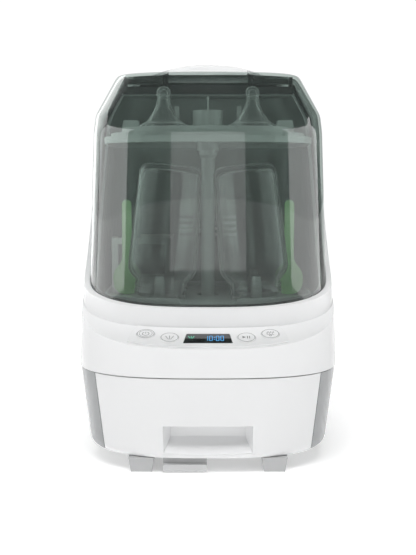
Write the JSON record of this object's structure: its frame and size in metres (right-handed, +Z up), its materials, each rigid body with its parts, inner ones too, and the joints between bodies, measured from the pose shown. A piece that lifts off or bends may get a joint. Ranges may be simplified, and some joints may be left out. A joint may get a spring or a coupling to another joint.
{
  "type": "bottle sterilizer",
  "caption": "Countertop steam sterilizer and dryer with a smoked tilt-up lid, lift-out racks, a sloped button panel and a pull-out water drawer.",
  "frame": {"origin": "bottom centre of the overall box, at the level of the surface it stands on", "axes": "+Z up, the control panel faces -Y, +X to the right seen from the front"},
  "size_m": [0.271, 0.33, 0.4242],
  "materials": {
    "white_gloss": "gloss",
    "shade_plastic": "satin",
    "liner_grey": "satin",
    "smoked": "clear tinted, gloss",
    "rack_grey": "satin",
    "bottle_clear": "clear, gloss",
    "silicone_clear": "translucent",
    "green_clear": "translucent, gloss",
    "foot_rubber": "matte",
    "seal_rubber": "matte",
    "black_glass": "gloss",
    "steel": "brushed",
    "circuit": "circuit board",
    "dark_plastic": "satin",
    "filter_paper": "pleated"
  },
  "bodies": {
    "base": {"main_housing": "white_gloss", "rear_panel": "white_gloss", "lower_housing": "white_gloss", "base_plate": "shade_plastic", "chassis_plate": "shade_plastic", "foot_front_left": "foot_rubber", "foot_front_right": "foot_rubber", "foot_rear_left": "foot_rubber", "foot_rear_right": "foot_rubber", "tub_liner": "liner_grey", "lid_seal": "seal_rubber", "sump_strainer": "steel", "feed_column": "rack_grey", "nozzle_front_left": "rack_grey", "nozzle_front_right": "rack_grey", "nozzle_rear_right": "rack_grey", "control_panel": "white_gloss", "display_window": "black_glass", "button_board": "circuit", "hinge_bracket_left": "dark_plastic", "hinge_pin_left": "steel", "hinge_bracket_right": "dark_plastic", "hinge_pin_right": "steel", "steam_heater": "steel", "circulation_pump": "dark_plastic", "drain_pump": "dark_plastic", "drain_hose": "silicone_clear", "supply_hose": "silicone_clear", "blower_housing": "dark_plastic", "blower_motor": "steel", "air_duct": "dark_plastic", "air_heater": "steel", "air_filter": "filter_paper", "main_board": "circuit", "power_inlet": "dark_plastic"},
    "lid": {"lid_cover": "smoked"},
    "top_rack": {"top_rack": "rack_grey", "teat_left": "silicone_clear", "teat_right": "silicone_clear"},
    "lower_rack": {"lower_rack": "rack_grey", "parts_basket": "rack_grey", "bottle_left": "bottle_clear", "bottle_right": "bottle_clear", "spoon_left": "green_clear", "spoon_right": "green_clear"},
    "drawer": {"drawer_front": "white_gloss", "drawer_tray": "shade_plastic", "waste_tank": "smoked", "waste_tank_lid": "shade_plastic", "clean_tank": "smoked", "clean_tank_lid": "shade_plastic"},
    "drip_tray": {"drip_tray": "white_gloss"},
    "power_button": {"power_button": "white_gloss"},
    "wash_button": {"wash_button": "white_gloss"},
    "start_button": {"start_button": "white_gloss"},
    "dry_button": {"dry_button": "white_gloss"},
    "filter_door": {"filter_door": "white_gloss"},
    "blower_wheel": {"blower_wheel": "rack_grey"},
    "pump_impeller": {"pump_impeller": "rack_grey"}
  },
  "joints": [
    {"name": "lid_hinge", "type": "hinge", "parent": "base", "child": "lid", "pos_m": [0, 0.046, 0.40136], "axis": [-1, 0, 0], "range_deg": [0, 78]},
    {"name": "top_rack_lift", "type": "slide", "parent": "base", "child": "top_rack", "axis": [0, 0, 1], "range_m": [0, 0.006]},
    {"name": "lower_rack_lift", "type": "slide", "parent": "base", "child": "lower_rack", "axis": [0, 0, 1], "range_m": [0, 0.008]},
    {"name": "drawer_slide", "type": "slide", "parent": "base", "child": "drawer", "axis": [0, -1, 0], "range_m": [0, 0.15]},
    {"name": "drip_tray_slide", "type": "slide", "parent": "base", "child": "drip_tray", "axis": [0, -1, 0], "range_m": [0, 0.06]},
    {"name": "power_button_press", "type": "slide", "parent": "base", "child": "power_button", "axis": [0, 0.3535, -0.9354], "range_m": [0, 0.001], "stiffness_N_per_m": 400, "springref_m": -0.002},
    {"name": "wash_button_press", "type": "slide", "parent": "base", "child": "wash_button", "axis": [0, 0.3535, -0.9354], "range_m": [0, 0.001], "stiffness_N_per_m": 400, "springref_m": -0.002},
    {"name": "start_button_press", "type": "slide", "parent": "base", "child": "start_button", "axis": [0, 0.3535, -0.9354], "range_m": [0, 0.001], "stiffness_N_per_m": 400, "springref_m": -0.002},
    {"name": "dry_button_press", "type": "slide", "parent": "base", "child": "dry_button", "axis": [0, 0.3535, -0.9354], "range_m": [0, 0.001], "stiffness_N_per_m": 400, "springref_m": -0.002},
    {"name": "filter_door_hinge", "type": "hinge", "parent": "base", "child": "filter_door", "pos_m": [0, 0.16084, 0.27766], "axis": [-1, 0, 0], "range_deg": [0, 105]},
    {"name": "blower_spin", "type": "hinge", "parent": "base", "child": "blower_wheel", "pos_m": [0, 0.1036, 0.31166], "axis": [0, 1, 0], "continuous": true},
    {"name": "impeller_spin", "type": "hinge", "parent": "base", "child": "pump_impeller", "pos_m": [0, -0.023, 0.125], "axis": [0, 0, 1], "continuous": true}
  ]
}
